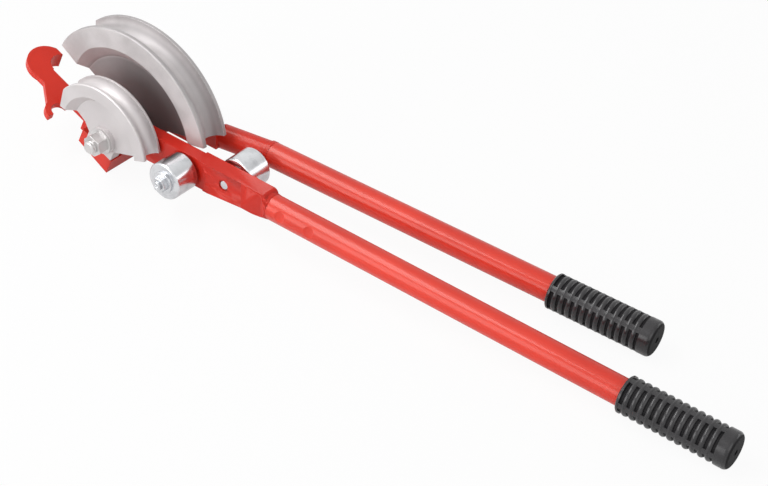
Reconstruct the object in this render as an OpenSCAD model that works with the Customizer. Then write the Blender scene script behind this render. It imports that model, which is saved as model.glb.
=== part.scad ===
// Two-handle bender for copper tube, with a small and a large former on one pivot.
// A roller arm swings round the pivot and wraps the tube into the groove of a former.
// X runs along the handles, Y along the pivot towards the large former, and Z is up.
// The tool lies closed, as it is put down on a bench: the bench top is the plane Z = 0.

/* [Tubes] */
// Outside diameter of the small tube
small_tube_d = 15; // [14:0.5:16]
// Outside diameter of the large tube
large_tube_d = 22; // [20:0.5:23]
// Bend radius of the small tube, at its centre line
small_bend_r = 54.5; // [53:0.5:58]
// Bend radius of the large tube, at its centre line
large_bend_r = 93.5; // [91:0.5:96]
// Radial room for a tube in its groove and in its stop
tube_room = 0.2; // [0.1:0.05:0.4]

/* [Formers] */
// Width of the small former
small_former_w = 21; // [20:0.5:24]
// Width of the large former
large_former_w = 30; // [28:0.5:33]
// How far a rim stands out past the tube's centre line
rim_over = 1.2; // [0.5:0.1:2]
// Chamfer on the outer edges of the rims
rim_chamfer = 0.8; // [0.4:0.1:1.2]
// Radial height of the small former's rim band on the near side
small_band = 12.2; // [11:0.2:14]
// Depth of the small former's web below the near side of its rim
small_web_depth = 8; // [7:0.5:9]
// Radial height of the large former's rim band on the near side
large_band = 19; // [17:0.5:21]
// Depth of the large former's web below the near side of its rim
large_web_depth = 10; // [8:0.5:12]
// Thickness of the large former's web
large_web_t = 10; // [8:0.5:12]
// Radial run of the cove between the small former's rim band and its web
small_cove = 6.5; // [5:0.5:8]
// Radial run of the cove between the large former's rim band and its web
large_cove = 12; // [8:0.5:14]
// Radius of the small former's hub
small_hub_r = 13; // [12.5:0.5:15]
// Depth of the small former's hub face below the near side of its rim
small_hub_depth = 4; // [3:0.5:6]
// Radius of the large former's hub
large_hub_r = 18; // [15:0.5:19]
// Width of the feet that stand on the stop plate
foot_w = 24; // [22:0.5:24.5]
// Angle above the arm at which the large groove runs out
large_end_angle = 12; // [10:1:15]
// Angle above the arm at which a tube enters the large groove
large_start_angle = 149; // [146:1:152]
// Angle above the arm at which the small groove runs out
small_end_angle = 6; // [5:1:9]
// Angle at which the small former's near lip is cut back
small_lip_angle = 137; // [134:1:140]
// Angle of the small former's entry corner
small_start_angle = 159; // [157:1:161]
// Distance of the small former's entry corner from the pivot
small_corner_r = 49.5; // [48:0.5:51]
// Distance from the pivot of the corner where the small former's entry cut meets its web
small_notch_r = 35; // [33:0.5:37]
// Angle of that corner
small_notch_angle = 156; // [155:0.5:157.5]
// Distance of the small former's waist from the pivot
small_waist_r = 25; // [23.5:0.5:27]
// Angle of the small former's waist
small_waist_angle = 161.5; // [160:0.5:163]
// Depth of the small former's lower edge below the pivot
small_cut = 12.6; // [11:0.2:14]
// Angle at which the small former's rim end begins
small_tip_angle = 2; // [1:0.5:4]
// Distance from the pivot of the heel where the lower edge meets the rim
small_heel_r = 34; // [32:0.5:36]
// Angle of the heel
small_heel_angle = -3.5; // [-5:0.5:-2]
// How far the small former's foot reaches towards the stops
small_foot_front = 19; // [17:0.5:20]
// How far behind the pivot the large former's far lip reaches
large_far_lip = 60.5; // [58:0.5:63]
// Angle at which the facet on the large former's near lip begins
large_facet_angle = 124.5; // [122:0.5:127]
// Slope of that facet
large_facet = 4.5; // [3:0.5:5.5]

/* [Frame] */
// Direction of the tube stops from the pivot, as an angle above the arm
stop_dir = 157; // [155:1:158]
// Distance from the pivot to the upper face of the stop plate
stop_drop = 20; // [19.5:0.5:23]
// Thickness of the stop plate
stop_t = 17; // [15:0.5:20]
// Length of the stop plate behind the pivot
stop_tail = 13; // [12.5:0.5:15]
// Length of the stop plate's near step before the pivot
stop_step = 27.5; // [26:0.5:30]
// Length of the stop plate before the pivot
stop_head = 36; // [33:0.5:39]
// Where the near step ends, measured from the middle of the arm
stop_step_y = -2; // [-5:0.5:0]
// How far the stop plate reaches under the small former
stop_reach = 10.5; // [10:0.5:13]
// How much the stop plate's near side draws in towards the stops
stop_taper = 3.4; // [2:0.2:4]
// Width of the shank below the small hook
shank_w = 12.5; // [11:0.5:13]
// Thickness of the shank and the hooks
hook_t = 6; // [5:0.5:8]
// Wall of the deep lip round the large tube's seat
hook_lip = 4; // [3:0.5:5]
// How far the shank stands clear of the large tube in its stop
shank_set = 1.3; // [1:0.1:2]
// Wall of the small stop hook
small_hook_wall = 5.8; // [5:0.1:7]
// Angle at which the gusset leaves the small hook's round
gusset_angle = 113; // [105:1:120]
// How far the gusset rises beyond the small hook
gusset_rise = 18; // [14:0.5:22]
// Outer radius of the large stop hook
large_hook_r = 20.5; // [19.5:0.5:22]
// How far the large hook's round is set to the near side of its seat
large_hook_shift = 10.5; // [9.5:0.5:11.5]
// How far the large hook's round is set beyond its seat
large_hook_rise = 7; // [6:0.5:8]
// How far the large hook's tip covers its seat
large_hook_cover = 7.5; // [6:0.5:8.5]
// Thickness of the far cheek
cheek_t = 12.7; // [11:0.1:15]
// Radius of the far cheek round the pivot
cheek_r = 23; // [21:0.5:25]
// Length of the far cheek's arm, from the pivot
cheek_arm = 80; // [77:1:84]
// Depth of the far cheek's bottom edge below the pivot
cheek_bottom = 10; // [9:0.5:12]
// How much the far cheek's bottom edge rises towards the fixed handle
cheek_lift = 7.5; // [6.5:0.5:8.5]
// Where that rise ends, from the pivot
cheek_lift_x = 64; // [60:1:68]
// Angle below the arm at which the far cheek's round meets its foot
cheek_fall = 20; // [15:1:25]

/* [Pivot] */
// Diameter of the pivot bolt
bolt_d = 12; // [11:0.5:12.5]
// Width across the flats of the pivot bolt's head and nut
bolt_af = 18; // [17:0.5:19]
// Height of the pivot bolt's head
bolt_head_h = 7.5; // [6:0.5:9]
// Height of the pivot nut
nut_h = 10; // [8:0.5:11]
// Turn of the pivot nut's corners
nut_turn = 40; // [0:5:55]
// Length of the stud end past the nut
stud_end = 4.5; // [3:0.5:6]
// Chamfer on the stud end
stud_chamfer = 1.2; // [0.8:0.1:1.6]
// Diameter of the pivot washers
pivot_washer_d = 24; // [22:0.5:25]
// Thickness of the pivot washers
pivot_washer_t = 2; // [1.5:0.1:2.5]
// Wall of the pivot bush
bush_wall = 2; // [1.5:0.1:2.5]
// Thickness of a thrust washer
thrust_t = 0.8; // [0.6:0.1:1.5]
// Diameter of a thrust washer
thrust_d = 30; // [26:0.5:34]
// Play between the arm, the thrust washers and the formers
side_play = 0.1; // [0.08:0.01:0.15]
// Radial play of a turning bore on its bush or axle
run_play = 0.05; // [0.03:0.01:0.08]
// Radial room of a bolt or screw in its hole
hole_room = 0.1; // [0.05:0.05:0.2]

/* [Plate screws] */
// Diameter of a plate screw
screw_d = 5; // [4:0.5:5.5]
// Diameter of a plate screw's head
screw_head_d = 8.5; // [7.5:0.5:9]
// Height of a plate screw's head
screw_head_h = 5; // [4:0.5:6]
// How deep a plate screw bites into its foot
screw_bite = 8; // [6:0.5:9]
// How deep a plate screw's head is sunk in the stop plate
screw_sink = 1; // [0.5:0.5:2]
// Distance between the two screws of a foot
screw_pitch = 14; // [13:0.5:15]
// Distance of the small former's screws from its far side
screw_edge = 3.6; // [3.4:0.1:3.8]

/* [Roller arm] */
// Thickness of the arm between the formers
arm_t = 12; // [11:0.5:13]
// Radius of the arm's hub
arm_hub_r = 19; // [16:0.5:19]
// Height of the arm's top edge above the pivot
arm_top = 17.5; // [16.5:0.5:18]
// Depth of the arm's bottom edge below the pivot
arm_bottom = 12; // [11:0.5:13]
// Where the arm's bottom edge begins to rise towards the tube, from the pivot
bar_taper_x = 109; // [105:1:115]
// Depth of the arm's bottom edge at the tube
socket_bottom = 5.3; // [4.5:0.1:6]
// Extra thickness of the arm's bar on the near side
bar_near = 1; // [0.75:0.25:1.5]
// Extra thickness of the arm's bar on the far side
bar_far = 2; // [1:0.25:2.5]
// Where the bar steps out to the handle socket, from the pivot
socket_start = 148; // [147:0.5:150]
// Height of that step
socket_step = 1; // [0.5:0.25:1.5]
// Where the handle socket ends and the tube begins, from the pivot
socket_end = 178; // [174:0.5:182]
// Rounding of the socket's upper lug
lug_r = 5; // [3:0.5:6]
// Length over which the socket's flat near side swells to the tube
flat_run = 8; // [6:0.5:10]
// Distance from the upper lug's end to the tube
lug_back = 2; // [1:0.5:4]
// Room round the small roller in the arm's near side
roller_pocket = 7; // [5:0.5:8]
// Room between the bar and the large former's rim
rim_room = 3; // [2:0.5:4]

/* [Rollers] */
// Diameter of both rollers
roller_d = 34.5; // [33:0.5:36]
// Length of both rollers
roller_w = 24.8; // [23:0.2:26]
// Chamfer on the edges of a roller
roller_chamfer = 1; // [0.5:0.1:1.5]
// Gap for the guide between the small tube and its roller
small_guide_gap = 3.5; // [3:0.25:5]
// Gap for the guide between the large tube and its roller
large_guide_gap = 5.6; // [4.6:0.25:7]
// Height of the small roller above the pivot
small_roller_z = 1; // [0:0.5:2]
// Height of the large roller above the pivot
large_roller_z = 5; // [3:0.5:6]
// Diameter of the roller axles
axle_d = 10; // [9:0.5:11]
// Diameter of the end of an axle and of its nut's thread
axle_end_d = 8; // [7:0.5:8]
// How far the large roller's axle ends below the arm's near side
axle_sink = 1; // [0.5:0.25:1.5]
// Diameter of the centre mark in the small roller's axle
axle_mark_d = 3; // [2:0.5:4]
// Depth of the centre mark
axle_mark = 1; // [0.5:0.1:1.2]
// Diameter of an axle's head
axle_head_d = 16; // [15:0.5:17]
// Height of an axle's head
axle_head_h = 4; // [3:0.5:5]
// Wall of a roller bush
roller_bush_wall = 2; // [1.5:0.1:2.5]
// Diameter of the roller washers
roller_washer_d = 20; // [18:0.5:22]
// Thickness of the roller washers
roller_washer_t = 2; // [1.5:0.1:2.4]
// Width across the flats of the small roller's nut
axle_nut_af = 13; // [12:0.5:14]
// Height of the small roller's nut
axle_nut_h = 5; // [4:0.5:6.5]
// Length of the axle past its nut
axle_stud = 2; // [1:0.5:3]

/* [Handles] */
// Outside diameter of the handle tubes
handle_d = 23; // [22:0.5:24]
// Wall of the handle tubes
handle_wall = 2; // [1.6:0.1:2.5]
// Length of the arm's handle tube
arm_tube_length = 430; // [400:1:450]
// Length of the fixed handle's tube
fixed_tube_length = 370; // [350:1:390]
// Length of the socket spigot inside a tube
spigot_length = 52; // [46:1:60]
// Height of the arm's handle above the pivot
arm_handle_z = 4.2; // [3.5:0.1:5]
// Where the fixed handle's tube begins, from the pivot
fixed_root_x = 130; // [126:1:134]
// Distance from the far cheek's middle out to the fixed handle's axis, at its root
fixed_root_out = 12; // [11.5:0.5:13]
// Height of the fixed handle's root above the pivot
fixed_root_z = 6.6; // [5.5:0.1:7.5]
// Outward splay of the fixed handle
splay = 3; // [2:0.25:4]
// How far a socket's collar stands out round its tube
collar_over = 0.2; // [0.1:0.1:1]
// Length of a socket's collar
collar_w = 4; // [3:0.5:6]
// How far the round bar between the far cheek and the fixed handle is set in from the collar
root_bar_inset = 0.5; // [0.4:0.1:0.8]
// Distance from the far cheek's middle out to the round bar's axis, where the bar begins
root_bar_out = 6; // [5.6:0.1:7]
// Height of the round bar's beginning above the pivot
root_bar_z = 4.5; // [3.5:0.1:5.5]
// How far the round bar begins inside the far cheek
root_bar_sink = 3; // [2:0.5:4]
// Turn of the arm tube's crimps from its top
arm_crimp_turn = 75; // [60:5:80]
// Turn of the fixed tube's crimps from its top
fixed_crimp_turn = -135; // [-150:5:-120]
// Distance from the head of a tube to its first crimp
crimp_from = 15; // [13:0.5:16]
// Distance between the two crimps
crimp_pitch = 31; // [28:1:33]
// Radius of a crimp
crimp_r = 12; // [10:0.5:14]
// Depth of a crimp
crimp_depth = 1.2; // [0.8:0.1:1.4]

/* [Grips] */
// Outside diameter of the grips
grip_d = 31; // [30:0.5:34]
// Length of the grips
grip_length = 94; // [92:1:104]
// Number of grooves in a grip
grip_grooves = 13; // [11:1:13]
// Distance between the grooves
grip_pitch = 6.45; // [6:0.05:6.6]
// Width of a groove at its mouth
groove_w = 3; // [2.5:0.1:3.4]
// Depth of a groove
groove_depth = 1.7; // [1.4:0.1:2]
// Radius of the round ribs between the grooves
rib_r = 2.6; // [2.2:0.1:2.7]
// Plain length at a grip's mouth
grip_collar = 2.6; // [2:0.1:4]
// Width of the four plain bands along a grip
band_w = 5; // [4:0.5:6]
// How far the bands lie below the ribs
band_drop = 0.3; // [0.2:0.05:0.5]
// Turn of the arm grip's bands
arm_band_turn = 0; // [-45:5:45]
// Turn of the fixed grip's bands
fixed_band_turn = 45; // [0:5:90]
// Chamfer at a grip's mouth
grip_chamfer = 1; // [0.5:0.1:1.5]
// Rounding of a grip's closed end
grip_round = 4; // [3:0.5:5]
// Wall of a grip's closed end
grip_end_wall = 8; // [6:0.5:9]
// Diameter of the vent hole in a grip's end
vent_d = 5; // [4:0.5:6]

/* [Hidden] */
$fn = 96;
// Overlap of pieces that are joined
e = 0.01;
// Extra length of a cutting piece past the faces it cuts
cut = 1;
// Facets of the round end of a socket
SOCKET_FN = 32;

RED = "#D8443C";
ALUMINIUM = "#C8C5C2";
STEEL = "#D5D8DA";
BRONZE = "#B08D57";
NYLON = "#E6E2D6";
RUBBER = "#26262A";

// Layers along the pivot, with the middle of the arm at Y = 0
former_gap = arm_t + 2*thrust_t + 4*side_play;
small_far = -former_gap/2;
small_near = small_far - small_former_w;
small_mid = small_far - small_former_w/2;
large_near = former_gap/2;
large_far = large_near + large_former_w;
large_mid = large_near + large_former_w/2;
small_web_near = small_near + small_web_depth;
large_web_near = large_near + large_web_depth;
large_web_far = large_web_near + large_web_t;
cheek_near = large_far;
cheek_far = cheek_near + cheek_t;
small_hub_near = small_near + small_hub_depth;
nut_seat = small_hub_near - pivot_washer_t;
stud_tip = nut_seat - nut_h - stud_end;
arm_near = -arm_t/2;
arm_far = arm_t/2;
bar_near_y = arm_near - bar_near;
bar_far_y = arm_far + bar_far;

// Formers and stops
small_groove_r = small_tube_d/2 + tube_room;
large_groove_r = large_tube_d/2 + tube_room;
small_rim_r = small_bend_r + rim_over;
large_rim_r = large_bend_r + rim_over;
stop_near = small_far - stop_reach;
stop_top = -stop_drop;
stop_bottom = -stop_drop - stop_t;
small_foot_y = small_far - screw_edge;
large_foot_y = (large_web_near + large_web_far)/2;
cheek_foot_y = (cheek_near + cheek_far)/2;
feet = [small_foot_y, large_foot_y, cheek_foot_y];
screw_seat = stop_bottom + screw_sink + screw_head_h;
shank_far = large_mid - large_groove_r - shank_set;
shank_near = shank_far - shank_w;
hook_bottom = stop_top - hook_t;
large_hook_y = large_mid - large_hook_shift;
large_hook_rho = large_bend_r + large_hook_rise;
stop_tip = large_hook_rho + large_hook_r;
small_hook_r = small_groove_r + small_hook_wall;
small_seat = [small_mid, small_bend_r];
large_seat = [large_mid, large_bend_r];

// Rollers
roller_r = roller_d/2;
small_roller_x = small_bend_r + small_tube_d/2 + small_guide_gap + roller_r;
large_roller_x = large_bend_r + large_tube_d/2 + large_guide_gap + roller_r;
small_roller_far = arm_near - roller_washer_t - side_play;
small_roller_near = small_roller_far - roller_w;
small_nut_seat = small_roller_near - side_play - roller_washer_t;
small_axle_tip = small_nut_seat - axle_nut_h - axle_stud;
large_roller_near = bar_far_y + roller_washer_t + side_play;
large_roller_far = large_roller_near + roller_w;
large_head_seat = large_roller_far + side_play + roller_washer_t;
axle_bush_r = axle_d/2 + run_play + roller_bush_wall;
bush_r = bolt_d/2 + hole_room + bush_wall;

// Handles
handle_r = handle_d/2;
handle_bore_r = handle_r - handle_wall;
spigot_r = handle_bore_r - hole_room;
arm_tube_x = socket_end;
arm_grip_end = arm_tube_length + grip_end_wall;
fixed_grip_end = fixed_tube_length + grip_end_wall;
grip_r = grip_d/2;
collar_r = handle_r + collar_over;
lug_end = socket_end - lug_back;
bar_slope = (arm_bottom - socket_bottom)/(socket_end - bar_taper_x);
function arm_floor(x) = bar_slope*(x - bar_taper_x) - arm_bottom;
fixed_root_y = cheek_near + cheek_t/2 + fixed_root_out;
root_bar_start = [cheek_arm - root_bar_sink, cheek_near + cheek_t/2 + root_bar_out, root_bar_z];
root_bar_run = [fixed_root_x, fixed_root_y, fixed_root_z] - root_bar_start;
root_bar_turn = atan2(root_bar_run[1], root_bar_run[0]);
root_bar_tilt = -atan2(root_bar_run[2], norm([root_bar_run[0], root_bar_run[1]]));
root_bar_length = norm(root_bar_run) - collar_w/2;

// Lie of the closed tool on the bench: it rests on the stop plate's lower corner and both grips
function along(rho, h) = [rho*cos(stop_dir) + h*sin(stop_dir), rho*sin(stop_dir) - h*cos(stop_dir)];
rest_corner = along(-stop_tail, stop_bottom);
arm_grip_rest = [arm_tube_x + arm_grip_end - grip_round, arm_handle_z - grip_r];
lie_angle = atan2(arm_grip_rest[1] - rest_corner[1], arm_grip_rest[0] - rest_corner[0]);
pivot_h = rest_corner[0]*sin(lie_angle) - rest_corner[1]*cos(lie_angle);
fixed_grip_rest_x = fixed_root_x + (fixed_grip_end - grip_round)*cos(splay);
bench_z = rest_corner[1] + (fixed_grip_rest_x - rest_corner[0])*tan(lie_angle);
fixed_fall = atan2(fixed_root_z - bench_z - grip_r, fixed_grip_end - grip_round);

// Middle of the tool on the bench
x_min = stop_tip*cos(stop_dir - lie_angle) + hook_bottom*sin(stop_dir - lie_angle);
x_max = (arm_tube_x + arm_grip_end)*cos(lie_angle) + (arm_handle_z + grip_r - grip_round)*sin(lie_angle);
y_min = small_axle_tip;
y_max = fixed_root_y + (fixed_grip_end - grip_round)*sin(splay)*cos(fixed_fall) + grip_r*cos(splay);
mid_x = (x_min + x_max)/2;
mid_y = (y_min + y_max)/2;

function polar(r, a) = [r*cos(a), r*sin(a)];

// Puts the tool, drawn about its pivot and arm, down on the bench
module laid() {
    translate([-mid_x, -mid_y, pivot_h]) rotate([0, lie_angle, 0]) children();
}

// A flat outline in X and Z, between two places along the pivot
module slab(y0, y1) {
    translate([0, y1, 0]) rotate([90, 0, 0]) linear_extrude(y1 - y0) children();
}

// A profile in radius and Y, turned about the pivot
module turned() {
    rotate([-90, 0, 0]) rotate_extrude() children();
}

// A round bar parallel to the pivot
module rod(r, y0, y1) {
    translate([0, y0, 0]) rotate([-90, 0, 0]) cylinder(r = r, h = y1 - y0);
}

// A ring parallel to the pivot
module ring(r_out, r_in, y0, y1) {
    difference() {
        rod(r_out, y0, y1);
        rod(r_in, y0 - cut, y1 + cut);
    }
}

// A hexagon parallel to the pivot, with its corners turned from the arm
module hexagon(af, y0, y1, turn = 0) {
    translate([0, y0, 0]) rotate([-90, 0, 0]) rotate(-turn) cylinder(d = af/cos(30), h = y1 - y0, $fn = 6);
}

// Turns pieces to the stops: X goes along the pivot, Y out towards the stops and Z up from the plate
module to_stops() {
    rotate([0, 180 - stop_dir, 0]) rotate([0, 0, 90]) children();
}

// An outline in Y and in distance from the pivot along the stops, between two heights
module stop_slab(h0, h1) {
    to_stops() translate([0, 0, h0]) linear_extrude(h1 - h0) children();
}

// Ring section of a former's rim with chamfered edges, and the web inside it
module former_profile(near, far, web_near, web_far, rim_r, band, cove) {
    band_r = rim_r - band;
    polygon([
        [0, web_near], [band_r - cove, web_near], [band_r, near], [rim_r - rim_chamfer, near],
        [rim_r, near + rim_chamfer], [rim_r, far - rim_chamfer], [rim_r - rim_chamfer, far],
        [band_r, far], [band_r - cove, web_far], [0, web_far]
    ]);
}

// The block that stands on the stop plate under a former's hub
module foot(y0, y1, front = foot_w/2) {
    stop_slab(stop_top, 0) translate([y0, -foot_w/2]) square([y1 - y0, foot_w/2 + front]);
}

// Places the two screws of a foot
module at_screws(y) {
    for (side = [-1, 1])
        to_stops() translate([y, side*screw_pitch/2, 0]) children();
}

// Plate under the pivot with the shank and both tube hooks, seen along the tubes
module stop_outline() {
    hook_span = 2*large_hook_r;
    stem_near = large_hook_y - large_hook_r + cut;
    difference() {
        union() {
            polygon([
                [stop_near, -stop_tail], [cheek_far, -stop_tail], [cheek_far, stop_head],
                [stop_step_y, stop_head], [stop_step_y, stop_step], [stop_near + stop_taper, stop_step]
            ]);
            polygon([
                [shank_near, 0], [shank_far, 0], [shank_far, large_bend_r], [stem_near, large_hook_rho],
                [stem_near, small_bend_r + small_hook_r + gusset_rise],
                small_seat + polar(small_hook_r - cut, gusset_angle), small_seat,
                [shank_near, small_bend_r + cut]
            ]);
            translate([large_hook_y, large_hook_rho]) circle(r = large_hook_r);
            translate(small_seat) circle(r = small_hook_r);
        }
        translate(small_seat) circle(r = small_groove_r);
        translate([small_mid - small_hook_r - cut, small_bend_r - small_hook_r - cut])
            square([shank_near - small_mid + small_hook_r + cut, small_hook_r + cut]);
        translate(large_seat) circle(r = large_groove_r);
        translate([shank_far, large_bend_r - hook_span/2]) square([hook_span, hook_span/2]);
        translate(large_seat + [large_hook_cover, 0]) square(hook_span);
    }
}

// What is cut away under the shank and the hooks, all but the lip round the large tube's seat
module hook_relief() {
    near = small_mid - small_hook_r - cut;
    root = stop_head + cut;
    difference() {
        translate([near, root]) square([large_mid + large_hook_r - near, stop_tip + cut - root]);
        translate(large_seat) circle(r = large_groove_r + hook_lip);
    }
}

// Cheek behind the large former, with its foot on the stop plate and the arm for the fixed handle
module cheek_outline() {
    reach = 2*cheek_arm;
    difference() {
        union() {
            circle(r = cheek_r);
            polygon([
                [0, -cheek_bottom], [cheek_lift_x - 2*cheek_lift, -cheek_bottom],
                [cheek_lift_x, cheek_lift - cheek_bottom], [cheek_arm, cheek_lift - cheek_bottom],
                [cheek_arm, arm_top], [0, arm_top]
            ]);
            polygon([
                along(-stop_tail, stop_bottom), along(stop_head, stop_bottom),
                polar(cheek_r - cut, stop_dir), polar(cheek_r - cut, -cheek_fall)
            ]);
        }
        rotate(stop_dir) translate([-reach, stop_drop]) square([2*reach, reach]);
    }
}

// Follows the fixed handle from its root, with X along its tube
module on_fixed_handle() {
    translate([fixed_root_x, fixed_root_y, fixed_root_z]) rotate([0, fixed_fall, splay]) children();
}

// Follows the arm's handle from its root, with X along its tube
module on_arm_handle() {
    translate([arm_tube_x, 0, arm_handle_z]) children();
}

// A round bar along a handle
module handle_rod(r, x0, x1) {
    translate([x0, 0, 0]) rotate([0, 90, 0]) cylinder(r = r, h = x1 - x0);
}

// Holes of the two screws that hold a foot on the stop plate
module foot_holes(y) {
    at_screws(y) translate([0, 0, stop_top - cut])
        cylinder(d = screw_d + 2*hole_room, h = screw_bite + 2*cut);
}

module stop_plate() {
    color(RED) laid() difference() {
        stop_slab(stop_bottom, stop_top) stop_outline();
        stop_slab(stop_bottom - cut, hook_bottom) hook_relief();
        for (y = feet)
            at_screws(y) translate([0, 0, stop_bottom - cut]) {
                cylinder(d = screw_d + 2*hole_room, h = stop_t + 2*cut);
                cylinder(d = screw_head_d + 4*hole_room, h = screw_seat - stop_bottom + cut);
            }
    }
}

module handle_cheek() {
    color(RED) laid() difference() {
        union() {
            slab(cheek_near, cheek_far) cheek_outline();
            translate(root_bar_start) rotate([0, root_bar_tilt, root_bar_turn])
                handle_rod(collar_r - root_bar_inset, 0, root_bar_length);
            on_fixed_handle() handle_rod(collar_r, -collar_w, 0);
            on_fixed_handle() handle_rod(spigot_r, -collar_w/2, spigot_length);
        }
        rod(bolt_d/2 + hole_room, cheek_near - cut, cheek_far + cut);
        foot_holes(cheek_foot_y);
    }
}

module small_former() {
    lip = polar(small_rim_r, small_lip_angle);
    corner = polar(small_corner_r, small_start_angle);
    rim_tip = polar(small_rim_r - small_band - cut, small_tip_angle);
    rim_end = polar(small_rim_r, small_end_angle);
    far_out = 1.5*small_rim_r;
    color(ALUMINIUM) laid() difference() {
        union() {
            intersection() {
                turned() difference() {
                    former_profile(small_near, small_far, small_web_near, small_far,
                        small_rim_r, small_band, small_cove);
                    translate([small_bend_r, small_mid]) circle(r = small_groove_r);
                }
                slab(small_near - cut, small_far + cut) polygon([
                    along(foot_w/2, -small_hub_r), polar(small_waist_r, small_waist_angle),
                    polar(small_notch_r, small_notch_angle), corner, corner + 2*(lip - corner),
                    [0, far_out], [far_out, far_out], rim_tip + 2*(rim_end - rim_tip), rim_tip,
                    polar(small_heel_r, small_heel_angle), [0, -small_cut]
                ]);
            }
            rod(small_hub_r, small_hub_near, small_far);
            foot(stop_near, small_far, small_foot_front);
        }
        rod(bolt_d/2 + hole_room, small_near - cut, small_far + cut);
        foot_holes(small_foot_y);
    }
}

module large_former() {
    far_out = 2*large_rim_r;
    step = (large_start_angle - large_end_angle)/3;
    color(ALUMINIUM) laid() difference() {
        union() {
            intersection() {
                turned() difference() {
                    former_profile(large_near, large_far, large_web_near, large_web_far,
                        large_rim_r, large_band, large_cove);
                    translate([large_bend_r, large_mid]) circle(r = large_groove_r);
                }
                slab(large_near - cut, large_far + cut)
                    polygon(concat([[0, 0]], [for (i = [0:3]) polar(far_out, large_end_angle + i*step)]));
            }
            rod(large_hub_r, large_near, large_far);
            foot(large_web_near, large_web_far);
        }
        rod(bolt_d/2 + hole_room, large_near - cut, large_far + cut);
        foot_holes(large_foot_y);
        translate([-large_far_lip - far_out, large_mid, 0]) cube([far_out, large_former_w, far_out]);
        rotate([0, -large_facet_angle, 0]) translate([large_rim_r/2, large_near, 0])
            rotate([-large_facet, 0, 0]) translate([0, -large_former_w, 0])
                cube([large_rim_r, large_former_w, large_rim_r]);
    }
}

// Cap screws that hold the feet of the formers and the cheek from below
module plate_screws() {
    color(STEEL) laid()
        for (y = feet)
            at_screws(y) difference() {
                union() {
                    translate([0, 0, screw_seat - screw_head_h]) cylinder(d = screw_head_d, h = screw_head_h);
                    translate([0, 0, screw_seat - e])
                        cylinder(d = screw_d, h = stop_top + screw_bite - screw_seat);
                }
                translate([0, 0, screw_seat - screw_head_h - cut])
                    cylinder(d = screw_d, h = screw_head_h/2 + cut, $fn = 6);
            }
}

module pivot_bolt() {
    tip = bolt_d/2 - stud_chamfer;
    color(STEEL) laid() {
        rod(bolt_d/2, stud_tip + stud_chamfer, cheek_far + pivot_washer_t + e);
        translate([0, stud_tip, 0]) rotate([-90, 0, 0])
            cylinder(r1 = tip, r2 = bolt_d/2, h = stud_chamfer + e);
        hexagon(bolt_af, cheek_far + pivot_washer_t, cheek_far + pivot_washer_t + bolt_head_h);
    }
}

module pivot_bush() {
    color(BRONZE) laid() ring(bush_r, bolt_d/2 + hole_room, small_far, large_near);
}

module pivot_nut() {
    color(STEEL) laid() difference() {
        intersection() {
            hexagon(bolt_af, nut_seat - nut_h, nut_seat, nut_turn);
            turned() polygon([
                [0, nut_seat], [bolt_af, nut_seat], [bolt_af, nut_seat - nut_h + bolt_af/4],
                [bolt_af/2, nut_seat - nut_h], [0, nut_seat - nut_h]
            ]);
        }
        rod(bolt_d/2 + hole_room, nut_seat - nut_h - cut, nut_seat + cut);
    }
}

module pivot_washer_near() {
    color(STEEL) laid() ring(pivot_washer_d/2, bolt_d/2 + hole_room, nut_seat, small_hub_near);
}

module pivot_washer_far() {
    color(STEEL) laid() ring(pivot_washer_d/2, bolt_d/2 + hole_room, cheek_far, cheek_far + pivot_washer_t);
}

module thrust_washer_near() {
    color(NYLON) laid() ring(thrust_d/2, bush_r + hole_room, small_far + side_play, arm_near - side_play);
}

module thrust_washer_far() {
    color(NYLON) laid() ring(thrust_d/2, bush_r + hole_room, arm_far + side_play, large_near - side_play);
}

// Side view of the arm's bar, from a place near the pivot out to its socket
module bar_outline(x0) {
    end = socket_start + cut;
    polygon([
        [x0, -arm_bottom], [bar_taper_x, -arm_bottom], [end, arm_floor(end)], [end, arm_top], [x0, arm_top]
    ]);
}

module roller_arm() {
    flat_y = bar_near_y - socket_step;
    socket_floor = arm_floor(socket_start) + socket_step;
    color(RED) laid() difference() {
        union() {
            slab(arm_near, arm_far) {
                circle(r = arm_hub_r);
                bar_outline(0);
            }
            slab(bar_near_y, arm_near + e) difference() {
                bar_outline(small_roller_x);
                translate([small_roller_x, small_roller_z]) circle(r = roller_r + roller_pocket);
            }
            slab(arm_far - e, bar_far_y) difference() {
                bar_outline(small_roller_x);
                circle(r = large_rim_r + rim_room);
            }
            difference() {
                hull() {
                    translate([socket_start, -collar_r, socket_floor])
                        cube([cut, collar_r + bar_far_y + socket_step, arm_top - socket_floor]);
                    on_arm_handle() handle_rod(collar_r, -collar_w, 0, $fn = SOCKET_FN);
                }
                translate([0, 0, -handle_d]) linear_extrude(2*handle_d) polygon([
                    [socket_start - cut, flat_y], [socket_end - flat_run, flat_y],
                    [socket_end, -collar_r - cut], [socket_start - cut, -collar_r - cut]
                ]);
            }
            slab(flat_y + socket_step/2, bar_far_y) {
                translate([socket_start, 0]) square([lug_end - lug_r - socket_start, arm_top]);
                translate([lug_end - lug_r, arm_top - lug_r]) circle(r = lug_r);
            }
            on_arm_handle() handle_rod(spigot_r, -collar_w/2, spigot_length);
        }
        rod(bush_r + run_play, arm_near - cut, arm_far + cut);
        on_small_axle() {
            rod(axle_d/2 + hole_room, arm_near - cut, arm_far + cut);
            rod(axle_head_d/2 + hole_room, arm_far - axle_head_h, arm_far + cut);
        }
        on_large_axle() rod(axle_d/2 + hole_room, bar_near_y - cut, bar_far_y + cut);
    }
}

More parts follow.
